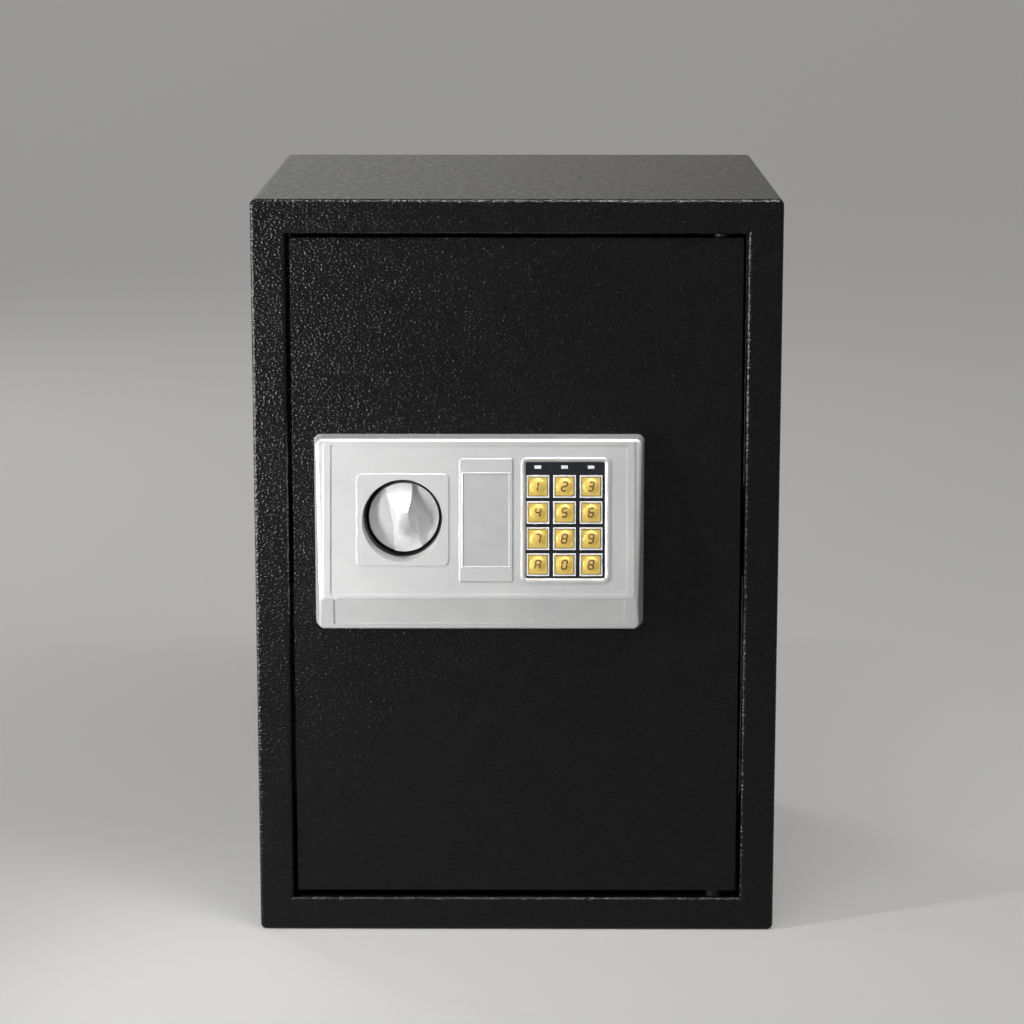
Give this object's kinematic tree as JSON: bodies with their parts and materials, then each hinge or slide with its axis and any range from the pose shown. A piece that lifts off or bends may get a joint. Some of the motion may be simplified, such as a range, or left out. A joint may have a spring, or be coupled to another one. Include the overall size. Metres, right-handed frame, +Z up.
{
  "type": "electronic safe",
  "caption": "Upright free-standing steel safe: right-hung door, sloping silver lock panel with keypad, knob and key cover, sliding round bolts and a loose shelf inside.",
  "frame": {"origin": "centre of the base footprint, on the surface the safe stands on", "axes": "+X to the viewer's right, the door faces -Y, +Z up"},
  "size_m": [0.35, 0.3567, 0.5],
  "materials": {
    "cabinet_paint": "black textured powder coat on folded steel",
    "door_paint": "black textured powder coat on steel plate",
    "shelf_paint": "black textured powder coat",
    "case_paint": "black satin powder coat",
    "floor_mat_foam": "dark closed-cell foam",
    "zinc_steel": "zinc-plated steel",
    "black_oxide": "blackened steel",
    "bolt_chrome": "chromed steel bar",
    "silver_plastic": "silver-painted moulded ABS",
    "silver_plastic_cover": "silver-painted moulded ABS",
    "silver_plastic_knob": "silver-painted moulded ABS, satin",
    "satin_inlay": "satin grey inlay",
    "keypad_black": "black plate with white key outlines",
    "key_gold": "gold-coloured keys with dark figures",
    "silicone": "grey silicone rubber",
    "circuit_board": "green circuit board",
    "indicator_white": "milky light windows",
    "bush_nylon": "natural nylon",
    "coil_tape": "taped coil",
    "lock_nickel": "nickel-plated lock",
    "tray_plastic": "black moulded plastic",
    "battery_jacket": "printed cell jacket, bare of marks",
    "contact_metal": "nickel-plated spring strip",
    "reset_red": "red push button"
  },
  "bodies": {
    "cabinet": {"front_frame": "cabinet_paint", "cabinet_wrap": "cabinet_paint", "rear_panel": "cabinet_paint", "shelf_clips": "cabinet_paint", "floor_mat": "floor_mat_foam", "hinge_bracket_bottom": "cabinet_paint", "hinge_bracket_top": "cabinet_paint", "thrust_washer": "black_oxide"},
    "shelf": {"shelf": "shelf_paint"},
    "door": {"door_plate": "door_paint", "hinge_blocks": "door_paint", "hinge_pins": "black_oxide", "lock_panel": "silver_plastic", "panel_screws": "zinc_steel", "keypad_plate": "keypad_black", "keypad_mat": "silicone", "keypad_board": "circuit_board", "indicator_lenses": "indicator_white", "spindle_bush": "bush_nylon", "bolt_guide": "door_paint", "guide_studs": "zinc_steel", "mechanism_plate": "zinc_steel", "mechanism_screws": "zinc_steel", "solenoid_frame": "zinc_steel", "solenoid_coil": "coil_tape", "solenoid_spring": "zinc_steel", "lock_cylinder": "lock_nickel", "lock_case": "case_paint", "lock_case_screws": "zinc_steel", "battery_tray": "tray_plastic", "batteries": "battery_jacket", "battery_contacts": "contact_metal", "reset_switch": "tray_plastic"},
    "knob": {"knob": "silver_plastic_knob", "knob_spindle": "zinc_steel", "drive_cam": "zinc_steel"},
    "bolts": {"bolt_carriage": "zinc_steel", "upper_bolt": "bolt_chrome", "lower_bolt": "bolt_chrome", "bolt_screws": "zinc_steel"},
    "plunger": {"solenoid_plunger": "zinc_steel"},
    "lock_plug": {"lock_plug": "lock_nickel"},
    "key_cover": {"key_cover": "silver_plastic_cover", "cover_inlay": "satin_inlay"},
    "battery_cover": {"battery_cover": "tray_plastic"},
    "reset_button": {"reset_button": "reset_red"},
    "key_1": {"key_1": "key_gold"},
    "key_2": {"key_2": "key_gold"},
    "key_3": {"key_3": "key_gold"},
    "key_4": {"key_4": "key_gold"},
    "key_5": {"key_5": "key_gold"},
    "key_6": {"key_6": "key_gold"},
    "key_7": {"key_7": "key_gold"},
    "key_8": {"key_8": "key_gold"},
    "key_9": {"key_9": "key_gold"},
    "key_a": {"key_a": "key_gold"},
    "key_0": {"key_0": "key_gold"},
    "key_b": {"key_b": "key_gold"}
  },
  "joints": [
    {"name": "door_hinge", "type": "hinge", "parent": "cabinet", "child": "door", "pos_m": [0.1355, -0.153, 0.25075], "axis": [0, 0, 1], "range_deg": [0, 105]},
    {"name": "knob_turn", "type": "hinge", "parent": "door", "child": "knob", "pos_m": [-0.0748, -0.161, 0.29], "axis": [0, -1, 0], "range_deg": [0, 90]},
    {"name": "bolt_slide", "type": "slide", "parent": "door", "child": "bolts", "axis": [-1, 0, 0], "range_m": [0, 0.01697]},
    {"name": "plunger_slide", "type": "slide", "parent": "door", "child": "plunger", "axis": [0, 0, -1], "range_m": [0, 0.006], "stiffness_N_per_m": 40, "springref_m": 0.009, "deforming": ["solenoid_spring"]},
    {"name": "plug_turn", "type": "hinge", "parent": "door", "child": "lock_plug", "pos_m": [-0.0203, -0.161, 0.29], "axis": [0, -1, 0], "range_deg": [0, 90]},
    {"name": "cover_pull", "type": "slide", "parent": "door", "child": "key_cover", "axis": [0, -0.9838, 0.1791], "range_m": [0, 0.015]},
    {"name": "battery_cover_slide", "type": "slide", "parent": "door", "child": "battery_cover", "axis": [1, 0, 0], "range_m": [0, 0.03]},
    {"name": "reset_press", "type": "slide", "parent": "door", "child": "reset_button", "axis": [0, -1, 0], "range_m": [0, 0.0015], "stiffness_N_per_m": 200, "springref_m": -0.003},
    {"name": "shelf_lift", "type": "slide", "parent": "cabinet", "child": "shelf", "axis": [0, 0, 1], "range_m": [0, 0.04]},
    {"name": "key_1_press", "type": "slide", "parent": "door", "child": "key_1", "axis": [0, 0.9838, -0.1791], "range_m": [0, 0.001], "stiffness_N_per_m": 200, "springref_m": -0.003},
    {"name": "key_2_press", "type": "slide", "parent": "door", "child": "key_2", "axis": [0, 0.9838, -0.1791], "range_m": [0, 0.001], "stiffness_N_per_m": 200, "springref_m": -0.003},
    {"name": "key_3_press", "type": "slide", "parent": "door", "child": "key_3", "axis": [0, 0.9838, -0.1791], "range_m": [0, 0.001], "stiffness_N_per_m": 200, "springref_m": -0.003},
    {"name": "key_4_press", "type": "slide", "parent": "door", "child": "key_4", "axis": [0, 0.9838, -0.1791], "range_m": [0, 0.001], "stiffness_N_per_m": 200, "springref_m": -0.003},
    {"name": "key_5_press", "type": "slide", "parent": "door", "child": "key_5", "axis": [0, 0.9838, -0.1791], "range_m": [0, 0.001], "stiffness_N_per_m": 200, "springref_m": -0.003},
    {"name": "key_6_press", "type": "slide", "parent": "door", "child": "key_6", "axis": [0, 0.9838, -0.1791], "range_m": [0, 0.001], "stiffness_N_per_m": 200, "springref_m": -0.003},
    {"name": "key_7_press", "type": "slide", "parent": "door", "child": "key_7", "axis": [0, 0.9838, -0.1791], "range_m": [0, 0.001], "stiffness_N_per_m": 200, "springref_m": -0.003},
    {"name": "key_8_press", "type": "slide", "parent": "door", "child": "key_8", "axis": [0, 0.9838, -0.1791], "range_m": [0, 0.001], "stiffness_N_per_m": 200, "springref_m": -0.003},
    {"name": "key_9_press", "type": "slide", "parent": "door", "child": "key_9", "axis": [0, 0.9838, -0.1791], "range_m": [0, 0.001], "stiffness_N_per_m": 200, "springref_m": -0.003},
    {"name": "key_a_press", "type": "slide", "parent": "door", "child": "key_a", "axis": [0, 0.9838, -0.1791], "range_m": [0, 0.001], "stiffness_N_per_m": 200, "springref_m": -0.003},
    {"name": "key_0_press", "type": "slide", "parent": "door", "child": "key_0", "axis": [0, 0.9838, -0.1791], "range_m": [0, 0.001], "stiffness_N_per_m": 200, "springref_m": -0.003},
    {"name": "key_b_press", "type": "slide", "parent": "door", "child": "key_b", "axis": [0, 0.9838, -0.1791], "range_m": [0, 0.001], "stiffness_N_per_m": 200, "springref_m": -0.003}
  ],
  "couplings": [
    {"joint": "knob_turn", "follows": "bolt_slide", "rad_per_m": 92.56}
  ]
}
